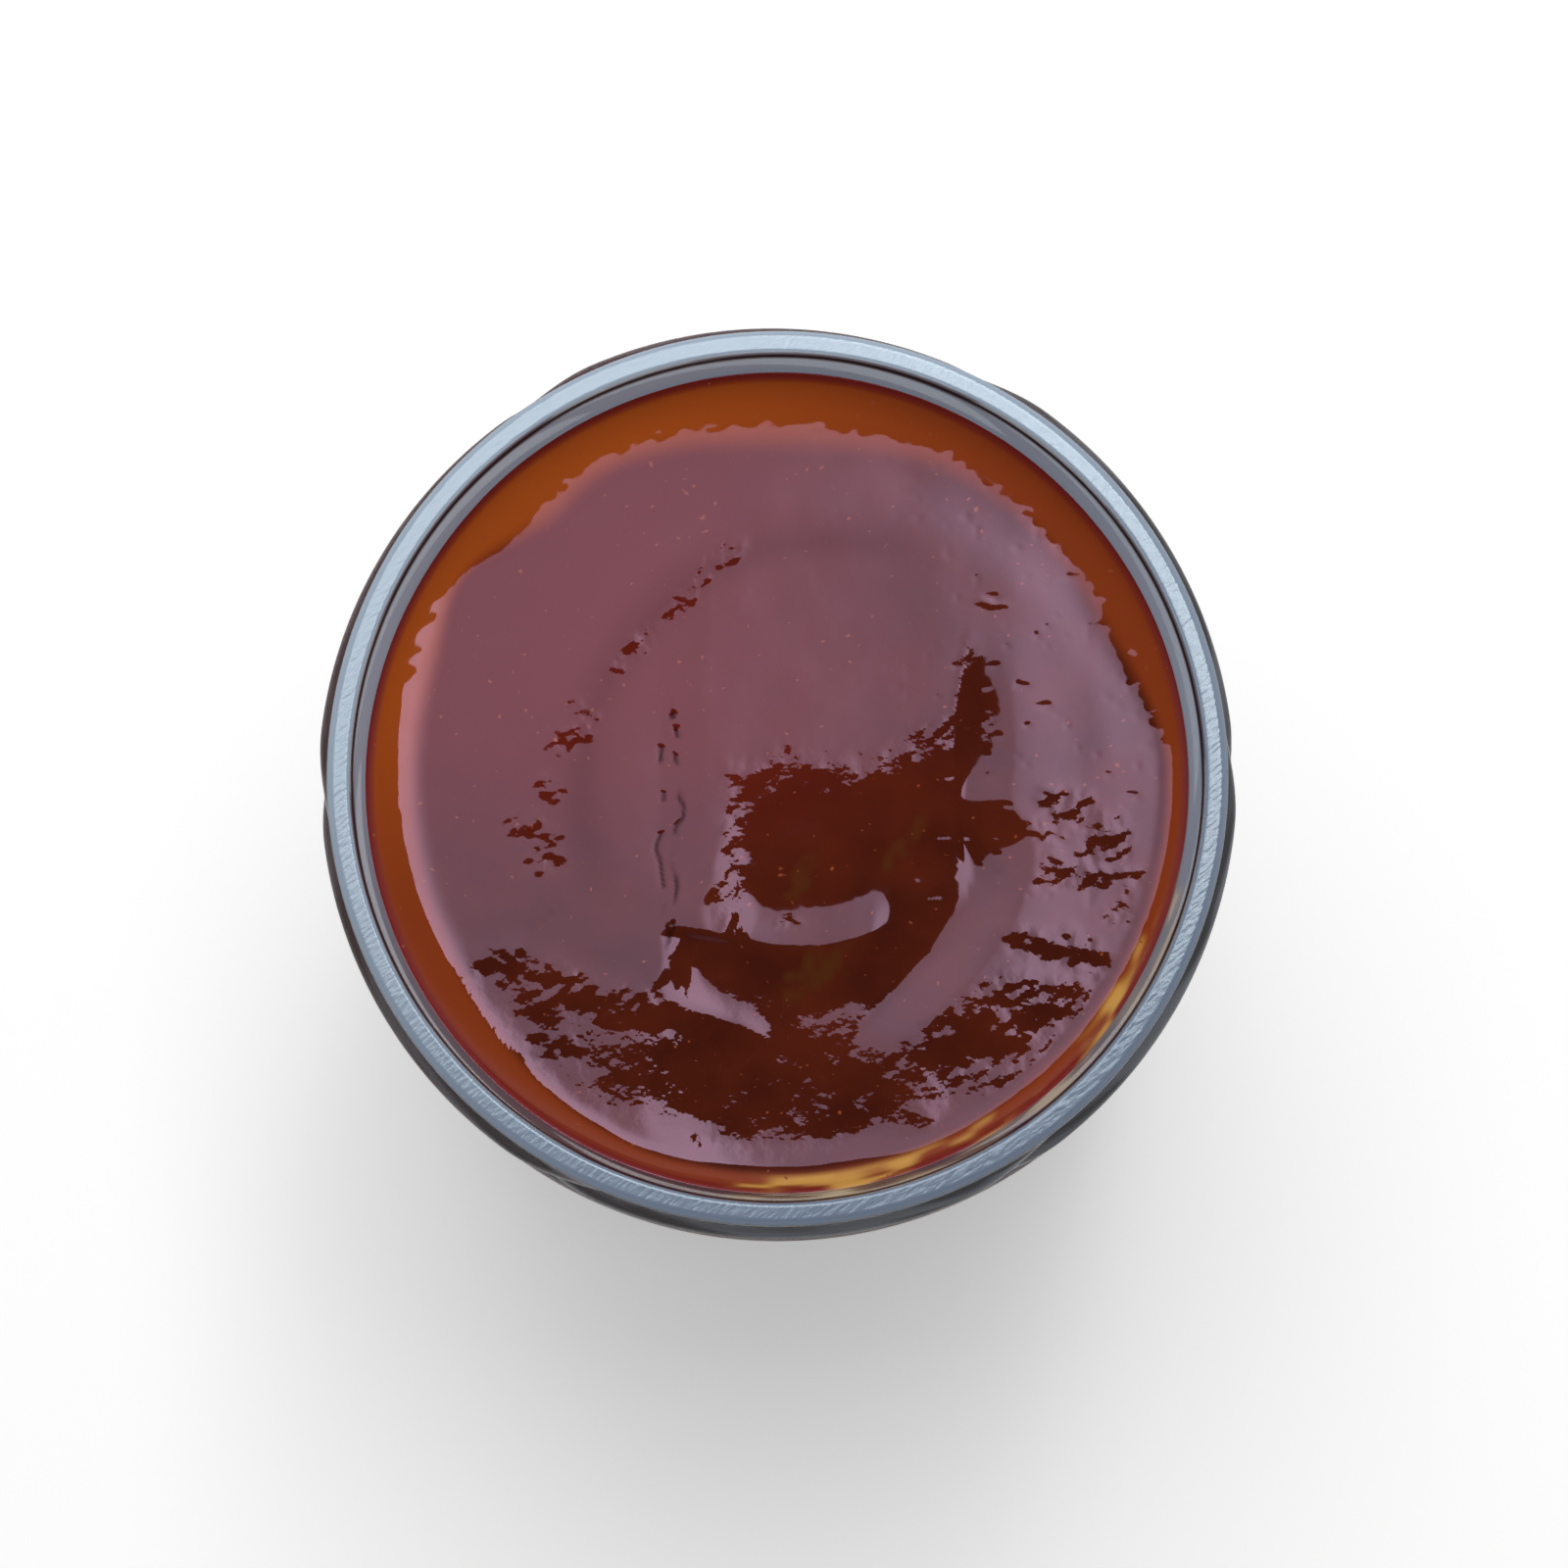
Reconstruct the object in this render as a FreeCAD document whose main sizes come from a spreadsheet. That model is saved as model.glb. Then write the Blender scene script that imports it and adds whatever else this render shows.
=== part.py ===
"""Open wide-mouth glass jar filled with barbecue sauce, in millimetres, +Z up.

The origin is the middle of the ring that the jar stands on. Two solids are written:
the glass jar, and the sauce that fills it to a few millimetres under the rim.
"""
import FreeCAD, Part
import math
import os
import Sketcher

SIZES = [
    # name, millimetres (or degrees, a count or a share), what it is
    ("jar_height", 100.0, "from the standing ring to the sealing rim"),
    ("base_radius", 38.9, "outside of the body, run down to the base plane"),
    ("body_radius", 41.0, "outside of the body at the shoulder, where it is widest"),
    ("shoulder_height", 84.0, "top of the tapered body"),
    ("neck_radius", 39.5, "waist between the shoulder and the transfer bead"),
    ("neck_height", 86.6, "foot of the waist"),
    ("bead_radius", 40.9, "transfer bead that the glassworks' tongs hold"),
    ("bead_foot_height", 88.0, "underside of the transfer bead"),
    ("bead_top_height", 90.6, "top of the transfer bead"),
    ("finish_radius", 40.1, "plain wall of the finish, which carries the thread starts"),
    ("rim_round", 0.7, "outer edge of the sealing rim"),
    ("rim_inner_round", 0.35, "inner edge of the sealing rim"),
    ("mouth_radius", 38.1, "inside of the sealing rim"),
    ("bore_radius", 36.85, "narrowest part of the bore"),
    ("bore_top_height", 94.6, "where the bore starts to flare to the mouth"),
    ("bore_foot_height", 88.6, "where the bore opens into the body"),
    ("cavity_top_radius", 38.2, "inside of the body under the shoulder"),
    ("cavity_top_height", 81.5, "where the inside turns in to the bore"),
    ("cavity_base_radius", 36.3, "inside of the body, run down to the floor"),
    ("floor_height", 7.2, "middle of the domed floor inside"),
    ("floor_edge_height", 5.0, "edge of the domed floor inside"),
    ("push_up", 3.0, "rise of the hollow under the base"),
    ("stand_inner_radius", 33.0, "inside of the flat ring that the jar stands on"),
    ("heel_round", 4.0, "outer corner of the base"),
    ("stand_round", 0.8, "inner corner of the standing ring"),
    ("floor_round", 6.0, "inner corner of the floor"),
    ("shoulder_round", 3.0, "outer corner of the shoulder"),
    ("neck_round", 0.9, "corners of the waist and of the transfer bead"),
    ("bore_round", 5.0, "soft bends of the inside wall"),
    ("thread_starts", 6, "short sloping threads that the lid's lugs run under"),
    ("thread_radius", 1.25, "half the height of the round-backed thread"),
    ("thread_reach", 41.15, "outside of the thread"),
    ("thread_height", 95.6, "middle of a thread, halfway along it"),
    ("thread_slope", 4.0, "tip of a thread, in degrees"),
    ("thread_span", 62.0, "angle that one thread covers, in degrees"),
    ("sauce_level", 93.6, "flat level that the sauce would settle to"),
    ("soft_bend", 1.2, "length over which two slopes of the sauce run into each other"),
    ("film_rise", 1.25, "how far the sauce stands up against the glass"),
    ("film_reach", 1.8, "distance over which that edge dies away"),
    ("film_thick_side", 115.0, "direction in which the edge is widest, in degrees"),
    ("bowl_front", -19.0, "behind this line the sauce rises towards the back"),
    ("bowl_lift", 1.14, "how much higher it lies at the back wall than at the front"),
    ("dish_x", 4.8, "middle of the round dish that the spoon pressed"),
    ("dish_y", 0.5, "middle of that dish"),
    ("dish_radius", 23.4, "radius of the dish, out to the top of its wall"),
    ("dish_depth", 0.25, "depth of the dish"),
    ("crest_height", 0.045, "height of the wave thrown up behind the dish"),
    ("crest_width", 2.2, "half width of that wave"),
    ("crest_offset", 1.8, "how far outside the dish the wave stands"),
    ("crest_fade", 12.0, "length over which the wave starts, at either side of the dish"),
    ("hollow_back", 1.0, "back edge of the hollow that the spoon scooped towards the front"),
    ("hollow_curl", 12.2, "how far that edge curls back at its right-hand end"),
    ("hollow_curl_start", 5.5, "where it starts to curl"),
    ("hollow_curl_length", 11.3, "run over which it curls"),
    ("hollow_curl_end", 1.1, "share of that run at which the curl stops"),
    ("hollow_left", -4.3, "left edge of the hollow"),
    ("hollow_left_step", 4.3, "how far the left edge steps out in front of the first fold"),
    ("hollow_left_step_y", -10.8, "where it steps out"),
    ("hollow_left_bank", 2.2, "half width of the left-hand bank, and length of the step"),
    ("hollow_right", 17.9, "right edge of the hollow where it is widest"),
    ("hollow_right_y", 2.0, "where the hollow is widest"),
    ("hollow_right_bend", 0.0172, "bend of the right edge in front, per millimetre squared"),
    ("hollow_right_bend_back", 0.0070, "bend of the right edge behind, per millimetre squared"),
    ("hollow_right_bank", 5.0, "width of the right-hand bank"),
    ("hollow_front", -22.0, "where the hollow's floor levels out"),
    ("hollow_front_bank", 3.8, "distance from the glass over which the hollow runs out"),
    ("hollow_slope", 0.014, "least slope of its floor, in millimetres per millimetre"),
    ("hollow_steepening", 0.00089, "gain in that slope for each millimetre towards the back"),
    ("fold_end", 2.2, "length over which a fold dies away at its ends"),
    ("fold_x", 1.8, "middle of the first fold across the hollow"),
    ("fold_y", -15.1, "middle of the first fold"),
    ("fold_height", 0.145, "height of the first fold"),
    ("fold_width", 2.0, "half width of the first fold"),
    ("fold_length", 9.3, "half length of the first fold"),
    ("fold_slant", 0.0, "slant of the first fold, in millimetres per millimetre"),
    ("fold_sag", 0.032, "curl of the first fold, per millimetre squared"),
    ("last_fold_x", -5.0, "middle of the last fold, where the spoon left"),
    ("last_fold_y", -21.9, "middle of the last fold"),
    ("last_fold_height", 0.125, "height of the last fold"),
    ("last_fold_width", 1.7, "half width of the last fold"),
    ("last_fold_length", 6.2, "half length of the last fold"),
    ("last_fold_slant", -0.14, "slant of the last fold, in millimetres per millimetre"),
    ("last_fold_sag", -0.030, "curl of the last fold, per millimetre squared"),
    ("surface_steps", 60, "spans of the smooth face through the stirred surface, each way"),
]

doc = FreeCAD.newDocument("sauce_jar")
sheet = doc.addObject("Spreadsheet::Sheet", "sizes")
for row, (alias, value, meaning) in enumerate(SIZES, start=1):
    sheet.set(f"A{row}", alias)
    sheet.set(f"B{row}", str(value))
    sheet.set(f"C{row}", meaning)
    sheet.setAlias(f"B{row}", alias)
doc.recompute()


def size(alias):
    """One driving dimension, read back from the sheet."""
    return float(sheet.get(alias))


def origin_item(body, role):
    """A plane or an axis of the body's own origin."""
    return next(item for item in body.Origin.OriginFeatures if item.Role == role)


def new_body(label):
    body = doc.addObject("PartDesign::Body", label)
    body.Label = label
    return body


def profile_sketch(body, name, corners, domed=()):
    """A closed outline in the XZ plane whose corners are formulas over the sheet.

    corners lists (radius, height) as expressions; the outline runs through them in
    turn. The side that starts at a corner whose index is in domed is an arc centred
    on the jar's axis, all others are straight.
    """
    sketch = body.newObject("Sketcher::SketchObject", name)
    sketch.AttachmentSupport = [(origin_item(body, "XZ_Plane"), "")]
    sketch.MapMode = "FlatFace"
    spots = []
    for radius, height in corners:
        spots.append(FreeCAD.Vector(float(sketch.evalExpression(radius)),
                                    float(sketch.evalExpression(height)), 0))
    count = len(corners)
    for index in range(count):
        start, end = spots[index], spots[(index + 1) % count]
        if index in domed:
            sketch.addGeometry(axis_arc(start, end), False)
        else:
            sketch.addGeometry(Part.LineSegment(start, end), False)
    starts_at = {}
    for index in range(count):
        # an arc is always kept counter-clockwise, so one drawn the other way
        # round begins at its second point
        turned = index in domed and spots[index].x < spots[(index + 1) % count].x
        starts_at[index] = 2 if turned else 1
    for index in range(count):
        following = (index + 1) % count
        sketch.addConstraint(Sketcher.Constraint(
            "Coincident", index, 3 - starts_at[index], following, starts_at[following]))
    for index, (radius, height) in enumerate(corners):
        pin_corner(sketch, index, starts_at[index], "DistanceX", radius, spots[index].x)
        pin_corner(sketch, index, starts_at[index], "DistanceY", height, spots[index].y)
    for index in domed:
        sketch.addConstraint(Sketcher.Constraint("PointOnObject", index, 3, -2))
    return sketch


def pin_corner(sketch, geometry, end, kind, formula, value):
    """Hold one coordinate of a corner: on the axis, or at its formula's distance."""
    if formula == "0":
        axis = -2 if kind == "DistanceX" else -1
        sketch.addConstraint(Sketcher.Constraint("PointOnObject", geometry, end, axis))
        return
    number = sketch.addConstraint(Sketcher.Constraint(kind, -1, 1, geometry, end, value))
    sketch.setExpression(f"Constraints[{number}]", formula)


def axis_arc(start, end):
    """The arc between two points whose centre lies on the vertical axis."""
    middle = (start.x ** 2 + start.y ** 2 - end.x ** 2 - end.y ** 2) / (2 * (start.y - end.y))
    radius = math.hypot(start.x, start.y - middle)
    angles = sorted(math.atan2(spot.y - middle, spot.x) for spot in (start, end))
    circle = Part.Circle(FreeCAD.Vector(0, middle, 0), FreeCAD.Vector(0, 0, 1), radius)
    return Part.ArcOfCircle(circle, angles[0], angles[1])


def turn(body, kind, name, sketch):
    """Revolve a profile all the way round the jar's axis."""
    feature = body.newObject(f"PartDesign::{kind}", name)
    feature.Profile = sketch
    feature.ReferenceAxis = (sketch, ["V_Axis"])
    feature.Angle = 360.0
    sketch.Visibility = False
    doc.recompute()
    return feature


def round_rings(body, name, radius, rings):
    """Fillet the circular edges that lie at the given (radius, height) formulas."""
    doc.recompute()
    base = body.Tip
    wanted = [(float(sheet.evalExpression(ring)), float(sheet.evalExpression(height)))
              for ring, height in rings]
    edges = []
    for number, edge in enumerate(base.Shape.Edges, start=1):
        if edge.Degenerated or not isinstance(edge.Curve, Part.Circle):
            continue
        for ring, height in wanted:
            if abs(edge.Curve.Radius - ring) < 0.02 and abs(edge.Curve.Center.z - height) < 0.02:
                edges.append(f"Edge{number}")
    if len(edges) < len(rings):
        raise RuntimeError(f"{name}: only {len(edges)} of {len(rings)} edges found")
    fillet = body.newObject("PartDesign::Fillet", name)
    fillet.Base = (base, edges)
    fillet.setExpression("Radius", radius)
    doc.recompute()
    return fillet


# ---------------------------------------------------------------- cavity outline
CAVITY = [
    ("0", "sizes.floor_height"),
    ("sizes.cavity_base_radius", "sizes.floor_edge_height"),
    ("sizes.cavity_top_radius", "sizes.cavity_top_height"),
    ("sizes.bore_radius", "sizes.bore_foot_height"),
    ("sizes.bore_radius", "sizes.bore_top_height"),
    ("sizes.mouth_radius", "sizes.jar_height"),
    ("0", "sizes.jar_height"),
]


def round_cavity(body, suffix):
    """The same soft bends on the glass and on the sauce that fills it."""
    round_rings(body, f"floor_corner{suffix}", "sizes.floor_round", [CAVITY[1]])
    round_rings(body, f"bore_bends{suffix}", "sizes.bore_round", CAVITY[2:5])


# ---------------------------------------------------------------- glass jar
def glass_jar():
    body = new_body("glass_jar")
    outline = profile_sketch(body, "outer_profile", [
        ("0", "sizes.push_up"),
        ("sizes.stand_inner_radius", "0"),
        ("sizes.base_radius", "0"),
        ("sizes.body_radius", "sizes.shoulder_height"),
        ("sizes.neck_radius", "sizes.neck_height"),
        ("sizes.neck_radius", "sizes.bead_foot_height"),
        ("sizes.bead_radius", "sizes.bead_foot_height + sizes.neck_round"),
        ("sizes.bead_radius", "sizes.bead_top_height - sizes.neck_round"),
        ("sizes.finish_radius", "sizes.bead_top_height"),
        ("sizes.finish_radius", "sizes.jar_height"),
        ("0", "sizes.jar_height"),
    ], domed=(0,))
    turn(body, "Revolution", "blank", outline)
    cavity = profile_sketch(body, "cavity_profile", CAVITY, domed=(0,))
    turn(body, "Groove", "cavity", cavity)
    round_cavity(body, "")
    round_rings(body, "heel", "sizes.heel_round", [("sizes.base_radius", "0")])
    round_rings(body, "standing_ring", "sizes.stand_round", [("sizes.stand_inner_radius", "0")])
    round_rings(body, "shoulder", "sizes.shoulder_round",
                [("sizes.body_radius", "sizes.shoulder_height")])
    round_rings(body, "rim_outside", "sizes.rim_round",
                [("sizes.finish_radius", "sizes.jar_height")])
    round_rings(body, "rim_inside", "sizes.rim_inner_round",
                [("sizes.mouth_radius", "sizes.jar_height")])
    add_threads(body)
    return body


def add_threads(body):
    """Short round-backed threads: each slopes down past the start of the next.

    One thread is a piece of a ring that is tipped about the radius through its middle,
    with a ball at each end. Both are laid out in a tipped frame of their own.
    """
    reach = "sizes.thread_reach - sizes.thread_radius"
    frame = body.newObject("PartDesign::CoordinateSystem", "thread_frame")
    frame.AttachmentSupport = [(origin_item(body, "XY_Plane"), "")]
    frame.MapMode = "FlatFace"
    frame.setExpression("AttachmentOffset.Base.z", "sizes.thread_height")
    frame.setExpression("AttachmentOffset.Rotation.Axis.x", "cos(sizes.thread_span / 2 * 1 deg)")
    frame.setExpression("AttachmentOffset.Rotation.Axis.y", "sin(sizes.thread_span / 2 * 1 deg)")
    frame.AttachmentOffset = FreeCAD.Placement(
        FreeCAD.Vector(), FreeCAD.Rotation(FreeCAD.Vector(1, 1, 0), size("thread_slope")))
    frame.setExpression("AttachmentOffset.Rotation.Angle", "sizes.thread_slope * 1 deg")
    doc.recompute()

    thread = body.newObject("PartDesign::AdditiveTorus", "thread")
    thread.AttachmentSupport = [(frame, "")]
    thread.MapMode = "ObjectXY"
    thread.setExpression("Radius1", reach)
    thread.setExpression("Radius2", "sizes.thread_radius")
    thread.setExpression("Angle3", "sizes.thread_span * 1 deg")
    doc.recompute()

    features = [thread]
    for name, angle in (("thread_foot", "0 deg"), ("thread_head", "sizes.thread_span * 1 deg")):
        end = body.newObject("PartDesign::AdditiveSphere", name)
        end.AttachmentSupport = [(frame, "")]
        end.MapMode = "ObjectXY"
        end.setExpression("Radius", "sizes.thread_radius")
        end.setExpression("AttachmentOffset.Base.x", f"({reach}) * cos({angle})")
        end.setExpression("AttachmentOffset.Base.y", f"({reach}) * sin({angle})")
        doc.recompute()
        features.append(end)

    ring = body.newObject("PartDesign::PolarPattern", "threads")
    ring.Originals = features
    ring.Axis = (origin_item(body, "Z_Axis"), [""])
    ring.Angle = 360.0
    ring.setExpression("Occurrences", "sizes.thread_starts")
    body.Tip = ring
    doc.recompute()


# ---------------------------------------------------------------- sauce
def s_curve(share):
    """Rises smoothly from 0 to 1 as the share does."""
    share = min(max(share, 0.0), 1.0)
    return share * share * (3.0 - 2.0 * share)


def soft_ramp(distance):
    """Nothing below zero and the distance itself above, with a soft bend between."""
    return size("soft_bend") * math.log1p(math.exp(distance / size("soft_bend")))


def dish_depth(x, y):
    """How far the round dish lies below the bowl: deepest in its middle."""
    share = math.hypot(x - size("dish_x"), y - size("dish_y")) / size("dish_radius")
    return size("dish_depth") * max(1.0 - share ** 2, 0.0) ** 1.5


def crest_height(x, y):
    """The wave that stands behind the dish, just outside its wall."""
    outside = math.hypot(x - size("dish_x"), y - size("dish_y")) - size("dish_radius")
    across = (outside - size("crest_offset")) / size("crest_width")
    return size("crest_height") * math.exp(-across ** 2) * s_curve(0.5 + y / size("crest_fade"))


def hollow_floor(x, y):
    """Height of the hollow's evenly falling floor, laid so that it cuts off the dish."""
    run = y - size("bowl_front")
    slope = size("hollow_slope") + 0.5 * size("hollow_steepening") * run
    return slope * run + dish_depth(x, y)


def hollow_depth(x, y):
    """How far the scooped hollow lies below the bowl and the dish.

    Its floor falls from a back edge that curls up to the right, and levels out in
    front. It ends in a bank at the left and a wider one at the right, and runs out
    close to the glass.
    """
    curl = max(x - size("hollow_curl_start"), 0.0) / size("hollow_curl_length")
    back = size("hollow_back") + size("hollow_curl") * min(curl, size("hollow_curl_end")) ** 3
    here = back - soft_ramp(back - y)
    here = size("hollow_front") + soft_ramp(here - size("hollow_front"))

    step = s_curve((size("hollow_left_step_y") - y) / size("hollow_left_bank"))
    left = size("hollow_left") - size("hollow_left_step") * step
    left_share = s_curve(0.5 + 0.5 * (x - left) / size("hollow_left_bank"))

    along = y - size("hollow_right_y")
    bend = size("hollow_right_bend_back") if along > 0 else size("hollow_right_bend")
    right = size("hollow_right") - bend * along ** 2
    right_share = 1.0 - s_curve((x - right) / size("hollow_right_bank"))

    from_glass = size("bore_radius") - math.hypot(x, y)
    front_share = s_curve(from_glass / size("hollow_front_bank"))
    return (hollow_floor(x, back) - hollow_floor(x, here)) * left_share * right_share * front_share


def fold_rise(x, y, fold):
    """A rounded fold across the hollow, slanted and curled, that dies away at its ends."""
    along = x - size(f"{fold}_x")
    line = size(f"{fold}_y") + size(f"{fold}_slant") * along + size(f"{fold}_sag") * along ** 2
    across = (y - line) / size(f"{fold}_width")
    ends = s_curve((size(f"{fold}_length") - abs(along)) / size("fold_end"))
    return size(f"{fold}_height") * math.exp(-across ** 2) * ends


def swirl_height(x, y):
    """Height of the stirred surface above the settled level.

    It adds up the edge that creeps up the glass, the bowl that rises to the back, the
    dish and the crest behind it, the scooped hollow, and the two folds across it.
    """
    from_glass = max(size("bore_radius") - math.hypot(x, y), 0.0)
    turned = math.atan2(y, x) - math.radians(size("film_thick_side"))
    reach = size("film_reach") * (1.0 + 0.3 * math.cos(turned))
    film = size("film_rise") * math.exp(-from_glass / reach)
    bowl_length = size("bore_radius") - size("bowl_front")
    bowl = size("bowl_lift") * (soft_ramp(y - size("bowl_front")) / bowl_length) ** 2
    folds = fold_rise(x, y, "fold") + fold_rise(x, y, "last_fold")
    return film + bowl - dish_depth(x, y) + crest_height(x, y) - hollow_depth(x, y) + folds


def swirled_block():
    """Everything under the stirred surface: a smooth face pushed down past the base."""
    half_width = size("cavity_top_radius") + 2.0
    steps = int(size("surface_steps"))
    places = [half_width * (2.0 * step / steps - 1.0) for step in range(steps + 1)]
    rows = [[FreeCAD.Vector(x, y, size("sauce_level") + swirl_height(x, y)) for y in places]
            for x in places]
    surface = Part.BSplineSurface()
    surface.interpolate(rows)
    block = doc.addObject("Part::Feature", "swirled_block")
    block.Shape = surface.toShape().extrude(FreeCAD.Vector(0, 0, -size("jar_height") - 10.0))
    return block


def sauce():
    filling = new_body("filling")
    outline = profile_sketch(filling, "filling_profile", CAVITY, domed=(0,))
    turn(filling, "Revolution", "full_cavity", outline)
    round_cavity(filling, "_of_filling")
    poured = doc.addObject("Part::Common", "sauce")
    poured.Label = "sauce"
    poured.Base = filling
    poured.Tool = swirled_block()
    return poured


def write_parts(nodes):
    """Check the whole document, then write each sub-part to its own file."""
    doc.recompute()
    for item in doc.Objects:
        if "Invalid" in item.State or "Error" in item.State:
            raise RuntimeError(f"{item.Name} did not build: {item.State}")
    for node in nodes:
        if node.Shape.isNull() or not node.Shape.isValid() or len(node.Shape.Solids) != 1:
            raise RuntimeError(f"{node.Label} is not one sound solid")
    os.makedirs("parts", exist_ok=True)
    for node in nodes:
        node.Shape.exportStep(f"parts/{node.Label}.step")
        print(f"{node.Label}: {node.Shape.Volume / 1000:.1f} cubic centimetres")


write_parts([glass_jar(), sauce()])
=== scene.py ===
"""Open wide-mouth glass jar filled with barbecue sauce, in metres, +Z up, in the CAD
model's frame."""
import math

import bpy
import numpy as np
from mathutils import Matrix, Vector


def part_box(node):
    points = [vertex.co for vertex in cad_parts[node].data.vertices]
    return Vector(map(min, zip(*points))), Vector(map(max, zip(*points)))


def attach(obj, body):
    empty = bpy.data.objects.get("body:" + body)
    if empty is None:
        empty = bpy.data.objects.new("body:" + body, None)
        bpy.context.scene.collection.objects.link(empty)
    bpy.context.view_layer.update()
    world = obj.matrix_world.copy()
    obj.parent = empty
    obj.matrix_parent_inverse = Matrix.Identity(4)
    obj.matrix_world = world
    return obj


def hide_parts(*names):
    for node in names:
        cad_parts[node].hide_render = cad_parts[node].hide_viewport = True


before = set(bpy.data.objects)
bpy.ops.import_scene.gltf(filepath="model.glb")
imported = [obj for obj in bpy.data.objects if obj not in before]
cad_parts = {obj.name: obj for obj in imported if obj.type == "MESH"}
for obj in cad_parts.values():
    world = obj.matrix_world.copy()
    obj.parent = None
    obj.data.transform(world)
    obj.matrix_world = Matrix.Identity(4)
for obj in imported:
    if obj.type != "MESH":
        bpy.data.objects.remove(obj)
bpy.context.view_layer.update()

MM = 0.001
JAR_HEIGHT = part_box("glass_jar")[1].z / MM

# ---------------------------------------------------------------- sizes, in millimetres
# outline of the glass, from the hollow base outwards, up the outside, over the rim
# and down the inside
STAND_RADIUS = 33.0
BASE_RADIUS = 38.9
BODY_RADIUS = 41.0
SHOULDER_HEIGHT = 84.0
WAIST_RADIUS = 39.5
WAIST_FOOT = 86.6
BEAD_RADIUS = 40.9
BEAD_FOOT = 88.0
BEAD_TOP = 90.6
FINISH_RADIUS = 40.1
MOUTH_RADIUS = 38.1
MOUTH_CHAMFER = 2.16
BORE_RADIUS = 36.85
BORE_TOP = 94.6
BORE_FOOT = 88.6
CAVITY_TOP_RADIUS = 38.2
CAVITY_TOP = 81.5
CAVITY_BASE_RADIUS = 36.3
FLOOR_EDGE = 5.0
FLOOR_MIDDLE = 7.2
PUSH_UP = 3.0

# finishes of the mouth: the sealing land, and the crease below it, painted as a dark shade line
# centred CREASE_DROP below the top; the throat's haze ends at THROAT_FOOT
LAND_DEPTH = 0.45
CREASE_DROP = 0.95
CREASE_HALF_HEIGHT = 0.55
THROAT_FOOT = 94.4

THREAD_STARTS = 6
THREAD_HALF_HEIGHT = 1.25
THREAD_REACH = 1.0
THREAD_HEIGHT = 95.6
THREAD_SPAN = math.radians(62.0)
THREAD_RISE = 2.8

# the sauce reaches into the wall by INTO_WALL, and its top out to SAUCE_EDGE; its side
# starts below SIDE_TOP
SAUCE_LEVEL = 93.6
SIDE_TOP = 91.0
INTO_WALL = 0.12
SAUCE_EDGE = BORE_RADIUS + 0.35

# how finely the two pieces are divided
GLASS_AROUND = 456
SAUCE_AROUND = 640
SAUCE_RINGS = 145

# ---------------------------------------------------------------- curves and noise
def smooth(t):
    """S-curve from 0 to 1: 3 t squared less 2 t cubed, flat outside."""
    t = np.clip(t, 0.0, 1.0)
    return t * t * (3.0 - 2.0 * t)


def soft_ramp(t, width):
    """0 below and t above, with a bend of the given width between."""
    return width * np.logaddexp(0.0, t / width)


def hump(t):
    """Round hump: e to the power of minus t squared, 1 in its middle."""
    return np.exp(-t ** 2)


def lumps(x, y, grain, seed, stretch=1.0, turn=0.0):
    """Seeded lumps from -1 to 1: random values on a square lattice of the given grain,
    joined by quintic S-curves; longer by stretch along the first axis, which is turned
    by so many degrees."""
    angle = math.radians(turn)
    u = (x * math.cos(angle) + y * math.sin(angle)) / (grain * stretch) + 57.3 + 11.7 * seed
    v = (y * math.cos(angle) - x * math.sin(angle)) / grain + 91.1 + 5.3 * seed
    column, row = np.floor(u).astype(int), np.floor(v).astype(int)
    table = np.random.default_rng(seed).uniform(-1.0, 1.0, (256, 256))
    s, t = u - column, v - row
    s = s ** 3 * (s * (6.0 * s - 15.0) + 10.0)
    t = t ** 3 * (t * (6.0 * t - 15.0) + 10.0)
    left, right, near, far = column & 255, (column + 1) & 255, row & 255, (row + 1) & 255
    near_row = table[left, near] * (1 - s) + table[right, near] * s
    far_row = table[left, far] * (1 - s) + table[right, far] * s
    return near_row * (1 - t) + far_row * t


def along_across(x, y, middle_x, middle_y, turn):
    """Distances from a middle, along and across an axis turned by so many degrees."""
    angle = math.radians(turn)
    return ((x - middle_x) * math.cos(angle) + (y - middle_y) * math.sin(angle),
            (y - middle_y) * math.cos(angle) - (x - middle_x) * math.sin(angle))


# ---------------------------------------------------------------- the sauce's surface
# Heights and places are in millimetres, x to the right and y to the back. From
# LEVEL_FRONT backwards the slope grows by LEVEL_SLOPE for each millimetre: the wide bowl
# takes BOWL_SHARE of that, and the floor of the hollow the rest and SLOPE_MARGIN more.
LEVEL_SLOPE = 0.00161
LEVEL_FRONT = -19.0
BOWL_SHARE = 0.45
SLOPE_MARGIN = 0.014
FILM_RADIUS = 36.9
DISH_MIDDLE = (4.8, 0.5)
DISH_RADIUS = 22.3
DISH_DEPTH = 0.25
CREST_HEIGHT = 0.045
HOLLOW_FRONT = -22.0
FIRST_FOLD_HEIGHT = 0.145
SECOND_FOLD_HEIGHT = 0.115
WRINKLE_DEPTH = 0.02
PORE_DEPTH = 0.013


def head_line(x, y):
    """Upper edge of the scooped hollow, as y by x: a low sine, a bend that rises as a
    square between x = 6 and 17, then the horn, an S-curve whose width grows in front."""
    bend = soft_ramp((x - 6.0) / 9.0, 0.04) - soft_ramp((x - 16.8) / 9.0, 0.10)
    horn = 6.5 * smooth((x - 15.5) / (1.6 + 6.0 * smooth((-5.0 - y) / 11.0)))
    return 1.0 + 0.5 * np.sin(0.6 * x + 0.6) + 3.5 * bend ** 2 + horn


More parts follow.
